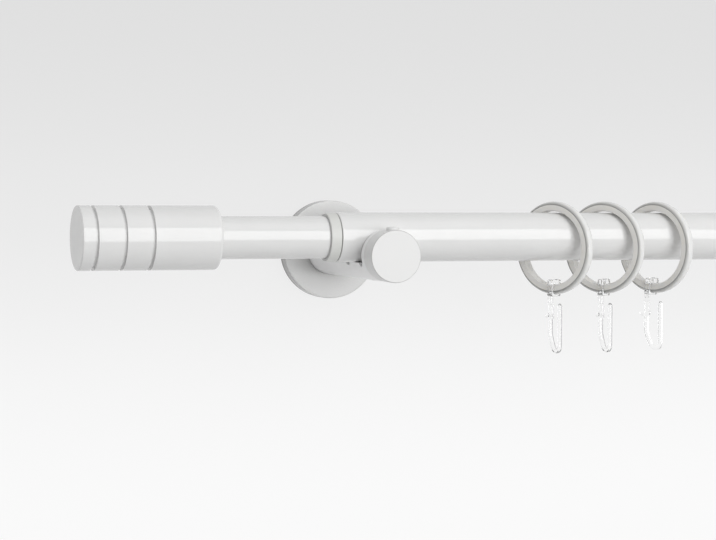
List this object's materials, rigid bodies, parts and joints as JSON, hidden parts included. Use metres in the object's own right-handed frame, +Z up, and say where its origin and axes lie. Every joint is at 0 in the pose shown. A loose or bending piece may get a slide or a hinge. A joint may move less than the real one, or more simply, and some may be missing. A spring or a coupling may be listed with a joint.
{
  "type": "extendable curtain rod",
  "caption": "Telescoping round curtain rod with grooved cylinder finials, held in open saddles on wall brackets, with sliding rings that carry clear pleat hooks.",
  "frame": {"origin": "on the wall, at the centre of the left bracket's pair of wall screws, on the axis of the left bracket's arm", "axes": "+X runs along the rod to the right, +Y points into the wall, +Z is up"},
  "size_m": [0.8159, 0.0865, 0.0629],
  "materials": {
    "tube_enamel": "white gloss enamel on steel tube",
    "finial_enamel": "white gloss enamel on turned steel",
    "bracket_enamel": "white gloss enamel on turned steel",
    "rosette_enamel": "white gloss enamel on pressed steel",
    "plate_steel": "zinc plated",
    "screw_steel": "zinc plated",
    "screw_white": "white gloss enamel",
    "collar_plastic": "warm white moulded plastic",
    "ring_plastic": "white gloss moulded plastic",
    "clear_clip": "clear moulded plastic",
    "clear_hook": "clear moulded plastic"
  },
  "bodies": {
    "outer_rod": {"outer_tube": "tube_enamel", "joint_collar": "collar_plastic", "right_finial": "finial_enamel", "right_finial_screw": "screw_steel", "left_wall_plate": "plate_steel", "left_arm_bolt": "screw_steel", "left_rosette": "rosette_enamel", "left_rosette_screw": "screw_steel", "left_arm": "bracket_enamel", "left_arm_cap": "bracket_enamel", "left_cap_screw": "screw_white", "left_rod_screw": "screw_steel", "right_wall_plate": "plate_steel", "right_arm_bolt": "screw_steel", "right_rosette": "rosette_enamel", "right_rosette_screw": "screw_steel", "right_arm": "bracket_enamel", "right_arm_cap": "bracket_enamel", "right_cap_screw": "screw_white", "right_rod_screw": "screw_steel"},
    "extension": {"inner_tube": "tube_enamel", "guide_bush": "collar_plastic", "left_finial": "finial_enamel", "left_finial_adapter": "collar_plastic", "left_finial_screw": "screw_steel"},
    "ring_body_1": {"ring_1": "ring_plastic"},
    "clip_body_1": {"ring_clip_1": "clear_clip"},
    "hook_body_1": {"pleat_hook_1": "clear_hook"},
    "ring_body_2": {"ring_2": "ring_plastic"},
    "clip_body_2": {"ring_clip_2": "clear_clip"},
    "hook_body_2": {"pleat_hook_2": "clear_hook"},
    "ring_body_3": {"ring_3": "ring_plastic"},
    "clip_body_3": {"ring_clip_3": "clear_clip"},
    "hook_body_3": {"pleat_hook_3": "clear_hook"}
  },
  "joints": [
    {"name": "extension_slide", "type": "slide", "parent": "outer_rod", "child": "extension", "axis": [-1, 0, 0], "range_m": [-0.0448, 0.45]},
    {"name": "ring_1_slide", "type": "slide", "parent": "outer_rod", "child": "ring_body_1", "axis": [1, 0, 0], "range_m": [-0.054, 0.002]},
    {"name": "ring_clip_1_swing", "type": "hinge", "parent": "ring_body_1", "child": "clip_body_1", "pos_m": [0.0786, -0.0644, 0.0023], "axis": [0.8886, 0.4587, 0], "range_deg": [-40, 40]},
    {"name": "pleat_hook_1_swivel", "type": "hinge", "parent": "clip_body_1", "child": "hook_body_1", "pos_m": [0.07673, -0.06536, -0.0208], "axis": [0, 0, 1], "range_deg": [-45, 45]},
    {"name": "ring_2_slide", "type": "slide", "parent": "outer_rod", "child": "ring_body_2", "axis": [1, 0, 0], "range_m": [-0.004, 0.004]},
    {"name": "ring_clip_2_swing", "type": "hinge", "parent": "ring_body_2", "child": "clip_body_2", "pos_m": [0.1016, -0.0644, 0.0023], "axis": [0.8572, 0.515, 0], "range_deg": [-40, 40]},
    {"name": "pleat_hook_2_swivel", "type": "hinge", "parent": "clip_body_2", "child": "hook_body_2", "pos_m": [0.0998, -0.06548, -0.0208], "axis": [0, 0, 1], "range_deg": [-45, 45]},
    {"name": "ring_3_slide", "type": "slide", "parent": "outer_rod", "child": "ring_body_3", "axis": [1, 0, 0], "range_m": [-0.002, 0.42]},
    {"name": "ring_clip_3_swing", "type": "hinge", "parent": "ring_body_3", "child": "clip_body_3", "pos_m": [0.1257, -0.0644, 0.0023], "axis": [0.9205, 0.3907, 0], "range_deg": [-47, 33]},
    {"name": "pleat_hook_3_swivel", "type": "hinge", "parent": "clip_body_3", "child": "hook_body_3", "pos_m": [0.12267, -0.06263, -0.02063], "axis": [0.0476, -0.1122, 0.9925], "range_deg": [-45, 45]}
  ]
}
